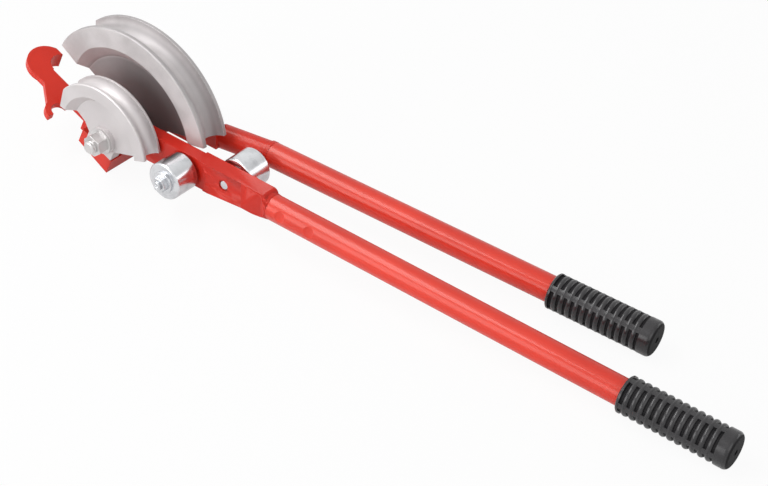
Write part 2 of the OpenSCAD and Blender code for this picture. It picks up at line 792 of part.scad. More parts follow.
// A handle tube with two crimps that lock it on its spigot, turned from its top
module handle_tube(length, turn) {
    difference() {
        handle_rod(handle_r, 0, length);
        handle_rod(handle_bore_r, -cut, length + cut);
        for (i = [0, 1])
            rotate([turn, 0, 0])
                translate([crimp_from + i*crimp_pitch, 0, handle_r - crimp_depth + crimp_r])
                    rotate([90, 0, 0]) cylinder(r = crimp_r, h = 2*crimp_r, center = true);
    }
}

// Half section of a grip: its length up the page, with round ribs between a collar and a rounded end
module grip_section() {
    floor_r = grip_r - groove_depth;
    cap_start = grip_collar + (grip_grooves - 1)*grip_pitch + groove_w;
    polygon([
        [0, 0], [grip_r - grip_chamfer, 0], [grip_r, grip_chamfer], [grip_r, grip_collar],
        [floor_r, grip_collar], [floor_r, cap_start], [grip_r, cap_start],
        [grip_r, grip_length - grip_round], [0, grip_length - grip_round]
    ]);
    for (i = [0:grip_grooves - 2])
        translate([grip_r - rib_r, grip_collar + groove_w/2 + (i + 0.5)*grip_pitch]) circle(r = rib_r);
    translate([0, grip_length - 2*grip_round]) square([grip_r - grip_round, 2*grip_round]);
    translate([grip_r - grip_round, grip_length - grip_round]) circle(r = grip_round);
}

// A ribbed rubber grip on the end of a handle tube, with its plain bands turned from its top
module handle_grip(length, turn) {
    ribs = grip_grooves*grip_pitch;
    grip_end = length + grip_end_wall;
    grip_start = grip_end - grip_length;
    difference() {
        union() {
            translate([grip_start, 0, 0]) rotate([0, 90, 0]) rotate_extrude() grip_section();
            intersection() {
                handle_rod(grip_r - band_drop, grip_start + grip_chamfer, grip_start + grip_collar + ribs);
                rotate([turn, 0, 0])
                    for (quarter = [0, 90])
                        rotate([quarter, 0, 0]) translate([grip_start, -band_w/2, -grip_r])
                            cube([grip_length, band_w, grip_d]);
            }
        }
        handle_rod(handle_r + run_play, grip_start - cut, length);
        handle_rod(vent_d/2, length - cut, grip_end + cut);
    }
}

module fixed_handle_tube() {
    color(RED) laid() on_fixed_handle() handle_tube(fixed_tube_length, fixed_crimp_turn);
}

module fixed_handle_grip() {
    color(RUBBER) laid() on_fixed_handle() handle_grip(fixed_tube_length, fixed_band_turn);
}

module arm_handle_tube() {
    color(RED) laid() on_arm_handle() handle_tube(arm_tube_length, arm_crimp_turn);
}

module arm_handle_grip() {
    color(RUBBER) laid() on_arm_handle() handle_grip(arm_tube_length, arm_band_turn);
}

// A plain roller with chamfered edges and a bore for its bush
module roller(y0) {
    bore_r = axle_bush_r + run_play;
    y1 = y0 + roller_w;
    turned() polygon([
        [bore_r, y0], [roller_r - roller_chamfer, y0], [roller_r, y0 + roller_chamfer],
        [roller_r, y1 - roller_chamfer], [roller_r - roller_chamfer, y1], [bore_r, y1]
    ]);
}

// Places pieces on the small roller's axle
module on_small_axle() {
    translate([small_roller_x, 0, small_roller_z]) children();
}

// Places pieces on the large roller's axle
module on_large_axle() {
    translate([large_roller_x, 0, large_roller_z]) children();
}

module small_roller() {
    color(STEEL) laid() on_small_axle() roller(small_roller_near);
}

module small_roller_bush() {
    color(BRONZE) laid() on_small_axle()
        ring(axle_bush_r, axle_d/2 + run_play, small_roller_near, small_roller_far);
}

module small_roller_axle() {
    color(STEEL) laid() on_small_axle() difference() {
        union() {
            rod(axle_head_d/2, arm_far - axle_head_h + e, arm_far);
            rod(axle_d/2, small_nut_seat, arm_far - cut);
            rod(axle_end_d/2, small_axle_tip, small_nut_seat + cut);
        }
        rod(axle_mark_d/2, small_axle_tip - cut, small_axle_tip + axle_mark);
    }
}

module small_roller_spacer() {
    color(STEEL) laid() on_small_axle()
        ring(roller_washer_d/2, axle_d/2 + hole_room, small_roller_far + side_play, arm_near);
}

module small_roller_washer() {
    color(STEEL) laid() on_small_axle()
        ring(roller_washer_d/2, axle_d/2 + hole_room, small_nut_seat, small_roller_near - side_play);
}

module small_roller_nut() {
    color(STEEL) laid() on_small_axle() difference() {
        hexagon(axle_nut_af, small_nut_seat - axle_nut_h, small_nut_seat);
        rod(axle_end_d/2 + hole_room, small_nut_seat - axle_nut_h - cut, small_nut_seat + cut);
    }
}

module large_roller() {
    color(STEEL) laid() on_large_axle() roller(large_roller_near);
}

module large_roller_bush() {
    color(BRONZE) laid() on_large_axle()
        ring(axle_bush_r, axle_d/2 + run_play, large_roller_near, large_roller_far);
}

module large_roller_axle() {
    color(STEEL) laid() on_large_axle() {
        rod(axle_end_d/2, bar_near_y + axle_sink, bar_near_y + axle_head_h);
        rod(axle_d/2, bar_near_y + axle_head_h/2, large_head_seat + cut);
        rod(axle_head_d/2, large_head_seat, large_head_seat + axle_head_h);
    }
}

module large_roller_spacer() {
    color(STEEL) laid() on_large_axle()
        ring(roller_washer_d/2, axle_d/2 + hole_room, bar_far_y, large_roller_near - side_play);
}

module large_roller_washer() {
    color(STEEL) laid() on_large_axle()
        ring(roller_washer_d/2, axle_d/2 + hole_room, large_roller_far + side_play, large_head_seat);
}

stop_plate();
handle_cheek();
small_former();
large_former();
plate_screws();
pivot_bolt();
pivot_bush();
pivot_nut();
pivot_washer_near();
pivot_washer_far();
thrust_washer_near();
thrust_washer_far();
fixed_handle_tube();
fixed_handle_grip();
roller_arm();
arm_handle_tube();
arm_handle_grip();
small_roller();
small_roller_bush();
small_roller_axle();
small_roller_spacer();
small_roller_washer();
small_roller_nut();
large_roller();
large_roller_bush();
large_roller_axle();
large_roller_spacer();
large_roller_washer();
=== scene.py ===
# %% [markdown]
# # A two-handle tube bender
# The solids of the tool come packed and already in their places, with the bodies that move. This
# script gives them their looks: paint, cast metal, zinc, rubber, light, a floor and a camera. The
# first cell loads the solids and gives a helper that reads a solid's box.

# %% Load the solids
import math
import bmesh
import bpy
from mathutils import Matrix, Vector


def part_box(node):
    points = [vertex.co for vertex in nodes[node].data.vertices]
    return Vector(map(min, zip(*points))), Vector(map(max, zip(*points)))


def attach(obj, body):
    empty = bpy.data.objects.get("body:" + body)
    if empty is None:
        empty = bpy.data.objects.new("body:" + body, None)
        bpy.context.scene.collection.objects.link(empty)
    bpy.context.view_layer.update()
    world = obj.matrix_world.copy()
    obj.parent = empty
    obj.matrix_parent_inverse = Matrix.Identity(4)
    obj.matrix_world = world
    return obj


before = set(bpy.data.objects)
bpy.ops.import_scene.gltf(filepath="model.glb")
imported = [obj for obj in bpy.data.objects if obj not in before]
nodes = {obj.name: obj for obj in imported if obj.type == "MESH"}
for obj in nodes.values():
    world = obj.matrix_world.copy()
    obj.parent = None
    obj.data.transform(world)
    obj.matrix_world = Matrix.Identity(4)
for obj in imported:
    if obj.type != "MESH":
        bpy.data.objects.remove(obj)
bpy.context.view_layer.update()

MM = 0.001

# %% [markdown]
# ## The camera
# The place, lens and tilt of the camera were worked out from the photograph, by fitting the round
# rims of the formers and the straight handles. The picture is 768 by 486, so the sensor fits the
# width. A camera looks down its own -Z axis: `to_track_quat` points that at the target, and one
# more turn about the view axis leans the picture a little, as the photograph leans.

# %% Camera
CAMERA_PLACE = Vector((0.68307, -0.90370, 0.85114))
CAMERA_TARGET = Vector((0.0041, 0.0332, 0.0))
CAMERA_LENS = 78.85
CAMERA_LEAN = math.radians(2.25)

camera_data = bpy.data.cameras.new("Camera")
camera_data.sensor_fit = "HORIZONTAL"
camera_data.sensor_width = 36.0
camera_data.lens = CAMERA_LENS
camera_data.clip_start = 0.01
camera = bpy.data.objects.new("Camera", camera_data)
camera.location = CAMERA_PLACE
aim = (CAMERA_TARGET - CAMERA_PLACE).to_track_quat("-Z", "Y").to_matrix()
camera.rotation_euler = (aim @ Matrix.Rotation(CAMERA_LEAN, 3, "Z")).to_euler()
bpy.context.scene.collection.objects.link(camera)
bpy.context.scene.camera = camera
print("camera", round((CAMERA_TARGET - CAMERA_PLACE).length, 3), "m from its target")

# %% [markdown]
# ## Shader maths as plain expressions
# A finish is a small machine of nodes. Wiring them by hand takes many lines, so two helpers do it:
# a `Wire` is one output of a node, and `wire * 2 + 1` adds the Math nodes for that. A `Finish` is a
# material under construction. Its one method `node` adds any node: the settings go in first,
# because they can change which sockets the node has, and then come the values or wires.

# %% Wires and finishes
class Wire:
    """One value that changes over a surface. Operators add Math nodes."""

    def __init__(self, finish, socket):
        self.finish = finish
        self.socket = socket

    def math(self, operation, first, second=0.0):
        return self.finish.node("ShaderNodeMath", {"operation": operation}, {0: first, 1: second})

    def __add__(self, other):
        return self.math("ADD", self, other)

    def __radd__(self, other):
        return self.math("ADD", other, self)

    def __sub__(self, other):
        return self.math("SUBTRACT", self, other)

    def __rsub__(self, other):
        return self.math("SUBTRACT", other, self)

    def __mul__(self, other):
        return self.math("MULTIPLY", self, other)

    def __rmul__(self, other):
        return self.math("MULTIPLY", other, self)

    def __abs__(self):
        return self.math("ABSOLUTE", self)


class Finish:
    """A material under construction, with the shader that it ends in."""

    def __init__(self, name):
        self.material = bpy.data.materials.new(name)
        self.material.use_nodes = True
        self.tree = self.material.node_tree
        self.shader = self.tree.nodes["Principled BSDF"]

    def plug(self, value, socket):
        if isinstance(value, Wire):
            self.tree.links.new(value.socket, socket)
        else:
            socket.default_value = value

    def node(self, kind, settings=None, sockets=None, output=0):
        made = self.tree.nodes.new(kind)
        for key, value in (settings or {}).items():
            setattr(made, key, value)
        for key, value in (sockets or {}).items():
            self.plug(value, made.inputs[key])
        return Wire(self, made.outputs[output])

    def surface(self, sockets):
        for key, value in sockets.items():
            self.plug(value, self.shader.inputs[key])
        print("finish", self.material.name, "with", len(self.tree.nodes), "nodes")
        return self.material


# %% [markdown]
# ## The words that the finishes share
# Every real surface here is described with the same few words: soft clouds of colour, a fine grain,
# a mask that finds the edges, and a bump. Patterns read Object coordinates, which are metres here,
# so a noise scale of 1000 has features about a millimetre across. The edge mask compares the true
# normal with the one that a Bevel node rounds off: they differ only close to an edge.

# %% Shared words
EDGE_SAMPLES = 4
EDGE_RANGE = (0.01, 0.22)
SOFT_RANGE = (0.3, 0.7)


def place_on(finish):
    return finish.node("ShaderNodeTexCoord", output="Object")


def noise(finish, place, scale, detail=2.0):
    settings = {"noise_dimensions": "3D"}
    return finish.node("ShaderNodeTexNoise", settings, {"Vector": place, "Scale": scale, "Detail": detail})


def between(finish, value, low, high):
    settings = {"interpolation_type": "SMOOTHSTEP", "clamp": True}
    sockets = {"Value": value, "From Min": low, "From Max": high, "To Min": 0.0, "To Max": 1.0}
    return finish.node("ShaderNodeMapRange", settings, sockets)


def mix(finish, share, first, second):
    return finish.node("ShaderNodeMix", {"data_type": "RGBA"}, {0: share, 6: first, 7: second}, output=2)


def rounded(finish, radius):
    return finish.node("ShaderNodeBevel", {"samples": EDGE_SAMPLES}, {"Radius": radius})


def edge_mask(finish, round_normal):
    true_normal = finish.node("ShaderNodeNewGeometry", output="Normal")
    likeness = finish.node("ShaderNodeVectorMath", {"operation": "DOT_PRODUCT"},
                           {0: true_normal, 1: round_normal}, output="Value")
    return between(finish, 1.0 - likeness, *EDGE_RANGE)


def bump(finish, height, depth, normal):
    return finish.node("ShaderNodeBump", None, {"Height": height, "Distance": depth, "Normal": normal})


def middle(node):
    low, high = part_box(node)
    return (low + high) / 2


# %% [markdown]
# ## Red paint
# The castings and the handle tubes carry the same orange-red stoving enamel. On the drawn tubes it
# lies smooth and bright, with the faint ripple that painters call orange peel, and their red is also
# painted lighter, partly as painted highlight. On the castings the sandy skin below shows through as
# a deeper ripple, and on the forged arm the red is darkest. Paint draws back from sharp edges as it
# dries, so it is thinner and a little lighter there, and a few specks have been knocked off the
# corners. One function makes all three coats. A white highlight would look chalky on this red, so the
# shader's Specular Tint warms it.

# %% Red paint
DARK_RED = (0.510, 0.017, 0.009, 1)
DEEP_RED = (0.600, 0.020, 0.010, 1)
FULL_RED = (0.660, 0.028, 0.014, 1)
# The lighter end of the tubes' red, which partly stands for their highlights.
TUBE_RED_WITH_HIGHLIGHT = (0.760, 0.036, 0.018, 1)
THIN_RED = (0.780, 0.055, 0.035, 1)
BARE_STEEL = (0.30, 0.29, 0.28, 1)
WARM_SHEEN = (1.0, 0.90, 0.76, 1)
PAINT_CLOUDS = 16.0
PAINT_SPECKS = 420.0
CHIP_RANGE = (0.66, 0.70)


def red_paint(name, dark, light, shine, skin_scale, skin_depth, edge_radius):
    finish = Finish(name)
    place = place_on(finish)
    clouds = noise(finish, place, PAINT_CLOUDS, detail=3.0)
    peel = noise(finish, place, skin_scale)
    specks = noise(finish, place, PAINT_SPECKS, detail=4.0)
    soft = rounded(finish, edge_radius)
    edges = edge_mask(finish, soft)
    chips = edges * between(finish, specks, *CHIP_RANGE)
    colour = mix(finish, between(finish, clouds, *SOFT_RANGE), dark, light)
    colour = mix(finish, edges * 0.6, colour, THIN_RED)
    colour = mix(finish, chips, colour, BARE_STEEL)
    gloss = 0.32 + 0.10 * clouds + 0.08 * peel + 0.25 * chips
    return finish.surface({
        "Base Color": colour, "Roughness": gloss, "Metallic": 0.7 * chips,
        "Specular IOR Level": shine, "Specular Tint": WARM_SHEEN,
        "Coat Weight": shine * (1.0 - chips), "Coat Roughness": 0.14,
        "Normal": bump(finish, peel - 0.5 * chips, skin_depth, soft),
    })


arm_paint = red_paint("Red paint on the arm", DARK_RED, DEEP_RED, shine=0.20,
                      skin_scale=480.0, skin_depth=0.12 * MM, edge_radius=0.6 * MM)
cast_paint = red_paint("Red paint on castings", DEEP_RED, FULL_RED, shine=0.22,
                       skin_scale=520.0, skin_depth=0.10 * MM, edge_radius=1.0 * MM)
# The tubes' lighter red is partly painted highlight.
tube_paint = red_paint("Red paint on tubes", FULL_RED, TUBE_RED_WITH_HIGHLIGHT, shine=0.38,
                       skin_scale=260.0, skin_depth=0.03 * MM, edge_radius=0.8 * MM)

# %% [markdown]
# ## Blasted cast aluminium
# The formers are castings that were cleaned with grit, so they are pale, matt and finely pitted.
# Their edges are rubbed brighter in patches. The groove carries painted shade on the large former and
# painted light on the small one. It could be painted by hand, but here it is found: it lies further
# from the pivot than its own floor, and its faces don't look sideways as the flat lips do. The hollow
# web of the large former is painted dark as shade, and the painted shade deepens towards the handles.

# %% Cast aluminium
BRIGHT_ALUMINIUM = (0.66, 0.630, 0.632, 1)
PALE_ALUMINIUM = (0.60, 0.570, 0.572, 1)
GREY_ALUMINIUM = (0.50, 0.475, 0.476, 1)
# Painted shade for the large former's groove.
SHADED_GROOVE_ALUMINIUM = (0.34, 0.322, 0.324, 1)
RUBBED_ALUMINIUM = (0.74, 0.720, 0.722, 1)
# Painted shade: the dark colour laid on the web in the large former's hollow.
WEB_PAINTED_SHADE = (0.150, 0.130, 0.130, 1)
CAST_CLOUDS = 26.0
CAST_PITS = 1500.0
CAST_SAND = 420.0
CAST_EDGE = 0.7 * MM
CAST_BUMP = 0.10 * MM
SIDEWAYS_RANGE = (0.80, 0.97)
RUBBED_RANGE = (0.35, 0.60)
FLOOR_FADE_IN = 0.4 * MM
FLOOR_FADE_OUT = 1.0 * MM
WEB_FADE = 3.0 * MM
# Where the painted shade on the web grows across the former, and how much of it stays at the least.
WEB_SHADE_LEFT = 60.0 * MM
WEB_SHADE_RIGHT = 50.0 * MM
LEAST_WEB_SHADE = 0.62
pivot = middle("pivot_washer_near")


def from_axis(finish, place, axis):
    flat = finish.node("ShaderNodeVectorMath", {"operation": "MULTIPLY"}, {0: place, 1: (1.0, 0.0, 1.0)})
    settings = {"operation": "DISTANCE"}
    return finish.node("ShaderNodeVectorMath", settings, {0: flat, 1: (axis.x, 0.0, axis.z)}, output="Value")


# Painted shade in the large former's hollow: strongest on the web, and deeper towards the handles.
def shaded_web(finish, place, radius, web_radius):
    web = 1.0 - between(finish, radius, web_radius - WEB_FADE, web_radius + WEB_FADE)
    across = finish.node("ShaderNodeSeparateXYZ", None, {"Vector": place}, output="X")
    deeper_shade = between(finish, across, pivot.x - WEB_SHADE_LEFT, pivot.x + WEB_SHADE_RIGHT)
    return web * (LEAST_WEB_SHADE + (1.0 - LEAST_WEB_SHADE) * deeper_shade)


def cast_aluminium(name, grey, pale, groove_floor, groove_light_and_shade, web_radius=0.0, web_shade_share=0.0):
    finish = Finish(name)
    place = place_on(finish)
    clouds = noise(finish, place, CAST_CLOUDS, detail=3.0)
    pits = noise(finish, place, CAST_PITS, detail=3.0)
    sand = noise(finish, place, CAST_SAND)
    soft = rounded(finish, CAST_EDGE)
    edges = edge_mask(finish, soft)
    radius = from_axis(finish, place, pivot)
    normal = finish.node("ShaderNodeNewGeometry", output="Normal")
    sideways = abs(finish.node("ShaderNodeSeparateXYZ", None, {"Vector": normal}, output="Y"))
    rim = between(finish, radius, groove_floor - FLOOR_FADE_IN, groove_floor + FLOOR_FADE_OUT)
    groove = rim * (1.0 - between(finish, sideways, *SIDEWAYS_RANGE))
    rubbed = edges * between(finish, sand, *RUBBED_RANGE)
    colour = mix(finish, between(finish, clouds + 0.35 * (pits - 0.5), *SOFT_RANGE), grey, pale)
    # Painted light and shade in the groove: darker on the large former, lighter on the small one.
    colour = mix(finish, 0.6 * groove, colour, groove_light_and_shade)
    colour = mix(finish, 0.65 * rubbed, colour, RUBBED_ALUMINIUM)
    # Painted shade on the web, for the large former only.
    if web_shade_share:
        web_shade = web_shade_share * shaded_web(finish, place, radius, web_radius)
        colour = mix(finish, web_shade, colour, WEB_PAINTED_SHADE)
    gloss = 0.60 - 0.06 * groove - 0.15 * rubbed + 0.12 * (pits - 0.5)
    return finish.surface({
        "Base Color": colour, "Metallic": 0.75, "Roughness": gloss,
        "Normal": bump(finish, pits + 0.6 * sand, CAST_BUMP, soft),
    })


# The small former's groove is painted lighter; the large former's groove and web are painted darker, as
# shade.
small_cast = cast_aluminium("Cast aluminium of the small former", PALE_ALUMINIUM, BRIGHT_ALUMINIUM,
                            groove_floor=46.8 * MM, groove_light_and_shade=BRIGHT_ALUMINIUM)
large_cast = cast_aluminium("Cast aluminium of the large former", GREY_ALUMINIUM, BRIGHT_ALUMINIUM,
                            groove_floor=82.3 * MM, groove_light_and_shade=SHADED_GROOVE_ALUMINIUM,
                            web_radius=64.0 * MM, web_shade_share=0.90)

# %% [markdown]
# ## Bright zinc, bronze and nylon
# Rollers, axles, nuts and washers are turned from steel and plated with clear zinc. A lathe leaves
# rings round the axis, so their noise reads only the distance from the axis and the place along it:
# every point of a ring gets the same value. The bushes are turned in the same way, from bronze,
# and the thrust washers are punched from nylon sheet.

# %% Turned metal and nylon
ZINC = (0.74, 0.75, 0.77, 1)
DULL_ZINC = (0.58, 0.59, 0.61, 1)
AGED_ZINC = (0.70, 0.685, 0.682, 1)
DARK_ZINC = (0.52, 0.505, 0.502, 1)
BRONZE = (0.55, 0.36, 0.16, 1)
DARK_BRONZE = (0.33, 0.20, 0.09, 1)
NYLON = (0.80, 0.77, 0.70, 1)
SHADED_NYLON = (0.66, 0.62, 0.54, 1)
LATHE_RINGS = 2600.0
LATHE_DEPTH = 0.012 * MM
ZINC_CLOUDS = 90.0
ZINC_RANGE = (0.25, 0.60)
TURNED_EDGE = 0.5 * MM
NYLON_CLOUDS = 140.0
NYLON_GRAIN = 2400.0
NYLON_EDGE = 0.3 * MM
NYLON_BUMP = 0.02 * MM


def turned_metal(name, axis, bright, dull, base_gloss):
    finish = Finish(name)
    place = place_on(finish)
    radius = from_axis(finish, place, axis)
    along = finish.node("ShaderNodeSeparateXYZ", None, {"Vector": place}, output="Y")
    ring = finish.node("ShaderNodeCombineXYZ", None, {"X": radius, "Y": along, "Z": 0.0})
    lathe = noise(finish, ring, LATHE_RINGS)
    clouds = noise(finish, place, ZINC_CLOUDS, detail=3.0)
    soft = rounded(finish, TURNED_EDGE)
    edges = edge_mask(finish, soft)
    colour = mix(finish, between(finish, clouds + 0.4 * (lathe - 0.5), *ZINC_RANGE), dull, bright)
    colour = mix(finish, 0.4 * edges, colour, bright)
    gloss = base_gloss + 0.10 * (lathe - 0.5) + 0.08 * (clouds - 0.5)
    return finish.surface({
        "Base Color": colour, "Metallic": 1.0, "Roughness": gloss,
        "Normal": bump(finish, lathe, LATHE_DEPTH, soft),
    })


def pressed_nylon(name):
    finish = Finish(name)
    place = place_on(finish)
    clouds = noise(finish, place, NYLON_CLOUDS, detail=3.0)
    grain = noise(finish, place, NYLON_GRAIN)
    soft = rounded(finish, NYLON_EDGE)
    colour = mix(finish, between(finish, clouds, *SOFT_RANGE), SHADED_NYLON, NYLON)
    return finish.surface({
        "Base Color": colour, "Roughness": 0.45 + 0.15 * grain,
        "Normal": bump(finish, grain, NYLON_BUMP, soft),
    })


small_axle = middle("small_roller_washer")
large_axle = middle("large_roller_washer")
pivot_zinc = turned_metal("Zinc on the pivot", pivot, AGED_ZINC, DARK_ZINC, base_gloss=0.36)
small_zinc = turned_metal("Zinc on the small roller", small_axle, ZINC, DULL_ZINC, base_gloss=0.22)
large_zinc = turned_metal("Zinc on the large roller", large_axle, ZINC, DULL_ZINC, base_gloss=0.22)
pivot_bronze = turned_metal("Bronze of the pivot bush", pivot, BRONZE, DARK_BRONZE, base_gloss=0.34)
small_bronze = turned_metal("Bronze of the small bush", small_axle, BRONZE, DARK_BRONZE, base_gloss=0.34)
large_bronze = turned_metal("Bronze of the large bush", large_axle, BRONZE, DARK_BRONZE, base_gloss=0.34)
nylon = pressed_nylon("Nylon of the thrust washers")

# %% [markdown]
# ## Black rubber
# The grips are moulded from soft black rubber. Hands polish the crowns of the ribs, while the grooves
# between them stay dull and dark. The two are told apart by the distance from the handle's own axis.
# That axis is read from the box of the handle's tube: a leaning tube of known diameter fills a box
# that is wider than the tube by just the amount that it leans.

# %% Black rubber
BLACK_RUBBER = (0.004, 0.0037, 0.0044, 1)
GREY_RUBBER = (0.010, 0.0090, 0.0105, 1)
WORN_RUBBER = (0.026, 0.0240, 0.0270, 1)
TUBE_WIDTH = 23.0 * MM
RIB_FLOOR = 13.7 * MM
RIB_CROWN = 14.7 * MM
RUBBER_CLOUDS = 60.0
RUBBER_GRAIN = 1900.0
RUBBER_EDGE = 0.4 * MM
RUBBER_BUMP = 0.02 * MM


def handle_axis(tube):
    low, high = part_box(tube)
    size = high - low
    run = Vector((size.x, size.y - TUBE_WIDTH, TUBE_WIDTH - size.z))
    return (low + high) / 2, run.normalized()


def from_line(finish, place, point, direction):
    offset = finish.node("ShaderNodeVectorMath", {"operation": "SUBTRACT"}, {0: place, 1: point})
    across = finish.node("ShaderNodeVectorMath", {"operation": "CROSS_PRODUCT"}, {0: offset, 1: direction})
    return finish.node("ShaderNodeVectorMath", {"operation": "LENGTH"}, {0: across}, output="Value")


def black_rubber(name, tube):
    finish = Finish(name)
    place = place_on(finish)
    clouds = noise(finish, place, RUBBER_CLOUDS, detail=3.0)
    grain = noise(finish, place, RUBBER_GRAIN, detail=3.0)
    soft = rounded(finish, RUBBER_EDGE)
    crown = between(finish, from_line(finish, place, *handle_axis(tube)), RIB_FLOOR, RIB_CROWN)
    colour = mix(finish, between(finish, clouds, *SOFT_RANGE), BLACK_RUBBER, GREY_RUBBER)
    colour = mix(finish, crown * between(finish, grain, *SOFT_RANGE), colour, WORN_RUBBER)
    return finish.surface({
        "Base Color": colour, "Roughness": 0.60 - 0.15 * crown + 0.10 * grain, "Specular IOR Level": 0.2,
        "Coat Weight": crown * (0.7 + 0.3 * clouds), "Coat Roughness": 0.2,
        "Normal": bump(finish, grain, RUBBER_BUMP, soft),
    })


arm_rubber = black_rubber("Black rubber on the arm handle", "arm_handle_tube")
fixed_rubber = black_rubber("Black rubber on the fixed handle", "fixed_handle_tube")

# %% [markdown]
# ## Dressing the solids
# Each solid gets its finish in its own slots, and a width in millimetres for its soft edges: wide on
# sand castings, narrow on turned steel. One table holds both, so that no piece is forgotten.

# %% Finishes
DRESS = {
    "stop_plate": (cast_paint, 1.0), "handle_cheek": (cast_paint, 1.0), "roller_arm": (arm_paint, 0.4),
    "fixed_handle_tube": (tube_paint, 0.4), "arm_handle_tube": (tube_paint, 0.4),
    "small_former": (small_cast, 0.5), "large_former": (large_cast, 0.5),
    "plate_screws": (pivot_zinc, 0.3), "pivot_bolt": (pivot_zinc, 0.3), "pivot_nut": (pivot_zinc, 0.3),
    "pivot_washer_near": (pivot_zinc, 0.3), "pivot_washer_far": (pivot_zinc, 0.3),
    "pivot_bush": (pivot_bronze, 0.2), "thrust_washer_near": (nylon, 0.1), "thrust_washer_far": (nylon, 0.1),
    "fixed_handle_grip": (fixed_rubber, 0.4), "arm_handle_grip": (arm_rubber, 0.4),
    "small_roller": (small_zinc, 0.4), "small_roller_axle": (small_zinc, 0.3),
    "small_roller_spacer": (small_zinc, 0.2), "small_roller_washer": (small_zinc, 0.3),
    "small_roller_nut": (small_zinc, 0.3), "small_roller_bush": (small_bronze, 0.2),
    "large_roller": (large_zinc, 0.4), "large_roller_axle": (large_zinc, 0.3),
    "large_roller_spacer": (large_zinc, 0.2), "large_roller_washer": (large_zinc, 0.3),
    "large_roller_bush": (large_bronze, 0.2),
}

for name, (material, _) in DRESS.items():
    for slot in nodes[name].material_slots:
        slot.material = material
print("dressed", len(DRESS), "of", len(nodes), "nodes")

# %% [markdown]
# ## Soft edges
# No real edge is perfectly sharp, and a thin round one catches the light. The mesh of a solid is
# triangles that only lie beside each other, so a Weld joins them first. A small node group drops the
# stored normals and shades smooth, a Decimate that only dissolves flat regions clears the slivers,
# and a Bevel rounds each corner that is sharp enough. The crimps pressed into the two tubes have
# blunter edges, so there the Bevel starts at a smaller angle. Weighted normals keep the flats flat.

# %% Soft edges
JOIN_DISTANCE = 0.002 * MM
BEVEL_STEPS = 3
FLAT_WEIGHT = 60
FLAT_ANGLE = math.radians(0.3)
CORNER_ANGLE = math.radians(38)
CRIMP_ANGLE = math.radians(18)
CRIMPED = ("fixed_handle_tube", "arm_handle_tube")


def smooth_shading():
    tree = bpy.data.node_groups.new("Smooth shading", "GeometryNodeTree")
    tree.interface.new_socket("Geometry", in_out="INPUT", socket_type="NodeSocketGeometry")
    tree.interface.new_socket("Geometry", in_out="OUTPUT", socket_type="NodeSocketGeometry")
    start = tree.nodes.new("NodeGroupInput")
    bare = tree.nodes.new("GeometryNodeRemoveAttribute")
    bare.inputs["Name"].default_value = "custom_normal"
    smooth = tree.nodes.new("GeometryNodeSetShadeSmooth")
    smooth.inputs["Shade Smooth"].default_value = True
    end = tree.nodes.new("NodeGroupOutput")
    tree.links.new(start.outputs[0], bare.inputs["Geometry"])
    tree.links.new(bare.outputs["Geometry"], smooth.inputs[0])
    tree.links.new(smooth.outputs[0], end.inputs[0])
    return tree


SMOOTH = smooth_shading()


def soften(piece, width, angle):
    weld = piece.modifiers.new("Join the triangles", "WELD")
    weld.merge_threshold = JOIN_DISTANCE
    shade = piece.modifiers.new("Shade smooth", "NODES")
    shade.node_group = SMOOTH
    flats = piece.modifiers.new("Clear the flats", "DECIMATE")
    flats.decimate_type = "DISSOLVE"
    flats.angle_limit = FLAT_ANGLE
    corners = piece.modifiers.new("Round the corners", "BEVEL")
    corners.width = width
    corners.segments = BEVEL_STEPS
    corners.limit_method = "ANGLE"
    corners.angle_limit = angle
    corners.use_clamp_overlap = True
    level = piece.modifiers.new("Keep the flats flat", "WEIGHTED_NORMAL")
    level.weight = FLAT_WEIGHT


for name, (_, width) in DRESS.items():
    soften(nodes[name], width * MM, CRIMP_ANGLE if name in CRIMPED else CORNER_ANGLE)
print("softened", len(DRESS), "nodes,", len(CRIMPED), "of them with crimps")

# %% [markdown]
# ## Threads on the two stud ends
# Past its nut, the pivot bolt shows a turn or two of its screw thread, and so does the small roller's
# axle. A thread is one tooth swept along a helix: `spin` turns the three edges of the tooth about the
# axis, and its `dvec` carries each step a little further along. The two open ends are then filled.

# %% Stud threads
THREAD_STEPS = 40
LEAST_STEPS = 12
TOOTH_ROOT = 0.15 * MM
TOOTH_CREST = 0.32 * MM


def screw_thread(name, body, material, axis, radius, pitch, start, end):
    turns = (end - start - pitch) / pitch
    steps = max(LEAST_STEPS, round(turns * THREAD_STEPS))
    shape = bmesh.new()
    rings = [(radius - TOOTH_ROOT, 0.0), (radius + TOOTH_CREST, pitch / 2), (radius - TOOTH_ROOT, pitch)]
    tooth = [shape.verts.new((axis.x + out, start + along, axis.z)) for out, along in rings]
    sides = [shape.edges.new((tooth[i], tooth[i - 1])) for i in range(3)]
    bmesh.ops.spin(shape, geom=tooth + sides, cent=(axis.x, start, axis.z), axis=(0, 1, 0),
                   dvec=(0, turns * pitch / steps, 0), angle=turns * math.tau, steps=steps)
    bmesh.ops.holes_fill(shape, edges=[edge for edge in shape.edges if edge.is_boundary], sides=3)
    bmesh.ops.recalc_face_normals(shape, faces=shape.faces)
    mesh = bpy.data.meshes.new(name)
    shape.to_mesh(mesh)
    shape.free()
    mesh.materials.append(material)
    piece = bpy.data.objects.new(name, mesh)
    bpy.context.scene.collection.objects.link(piece)
    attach(piece, body)
    print(name, "with", len(mesh.polygons), "faces and", round(turns, 2), "turns")


